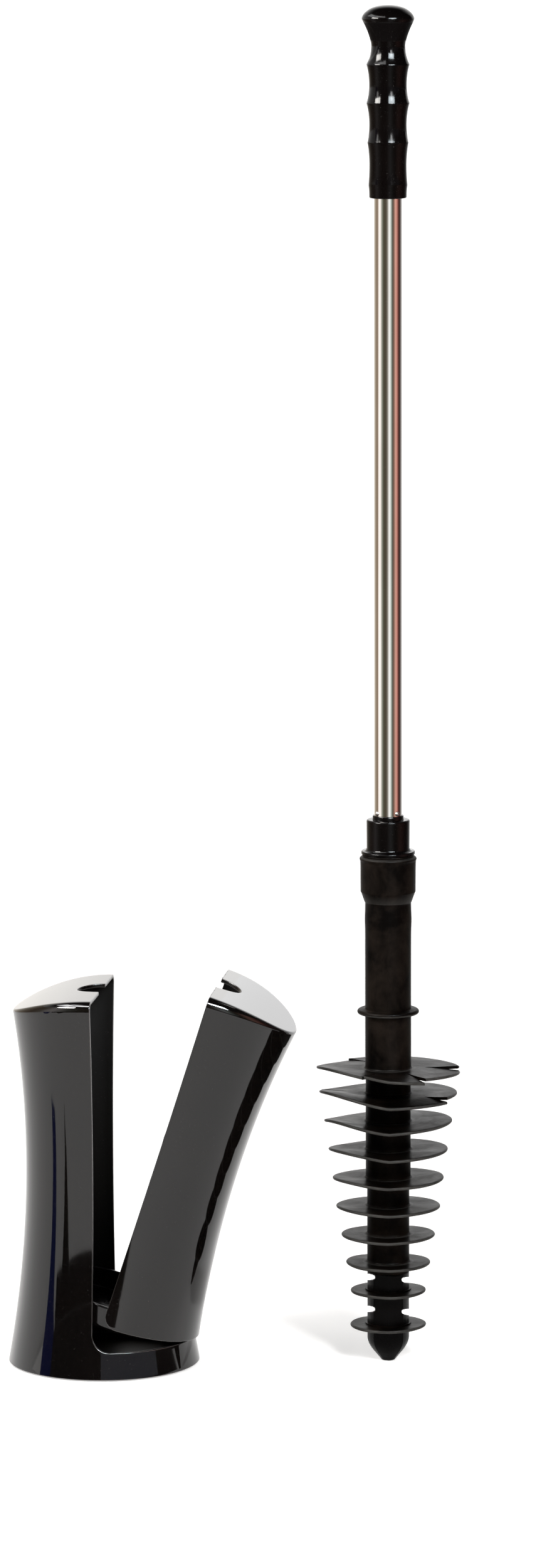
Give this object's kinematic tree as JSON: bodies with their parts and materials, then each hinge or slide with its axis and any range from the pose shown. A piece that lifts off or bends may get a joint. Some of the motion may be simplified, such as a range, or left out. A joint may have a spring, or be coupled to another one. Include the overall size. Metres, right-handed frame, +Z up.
{
  "type": "toilet plunger",
  "caption": "Finned rubber toilet plunger on a long steel tube handle with a ribbed grip, beside its hourglass clamshell caddy with one hinged half and a drip cup.",
  "frame": {"origin": "on the floor, at the centre of the caddy's anti-slip pad", "axes": "+Z up along the plunger's handle; the caddy's hinge runs along Y; its hinged half is at +X and opens towards the plunger"},
  "size_m": [0.2589, 0.1129, 0.7767],
  "materials": {
    "grip_gloss": "high gloss moulded black",
    "ferrule_gloss": "gloss moulded black",
    "polished_steel": "polished stainless tube with fine draw lines",
    "rivet_steel": "plain steel",
    "boot_rubber": "satin black rubber",
    "fin_rubber": "satin black rubber",
    "nose_plastic": "satin black",
    "inner_plastic": "plain moulded black",
    "caddy_gloss": "piano black moulded shell",
    "cup_plastic": "gloss black",
    "base_plastic": "fine matt black",
    "pad_rubber": "matt foam rubber",
    "screw_steel": "zinc plated",
    "pin_steel": "ground steel"
  },
  "bodies": {
    "caddy": {"fixed_shell": "caddy_gloss", "base_plate": "base_plastic", "base_screws": "screw_steel", "base_pad": "pad_rubber", "hinge_pin": "pin_steel"},
    "door": {"door_shell": "caddy_gloss", "drip_cup": "cup_plastic", "cup_screws": "screw_steel"},
    "plunger": {"grip": "grip_gloss", "tube_top_plug": "inner_plastic", "handle_tube": "polished_steel", "tube_bottom_plug": "inner_plastic", "tube_rivets": "rivet_steel", "ferrule": "ferrule_gloss", "mouth_gasket": "boot_rubber", "core_tube": "inner_plastic", "finned_boot": "boot_rubber", "nose": "nose_plastic", "nose_fin_upper": "fin_rubber", "nose_fin_lower": "fin_rubber"}
  },
  "joints": [
    {"name": "door_swing", "type": "hinge", "parent": "caddy", "child": "door", "pos_m": [0.047, 0, 0.008], "axis": [0, -1, 0], "range_deg": [0, 18]},
    {"name": "plunger_lift", "type": "slide", "parent": "caddy", "child": "plunger", "axis": [0, 0, 1], "range_m": [0, 0.25]}
  ]
}
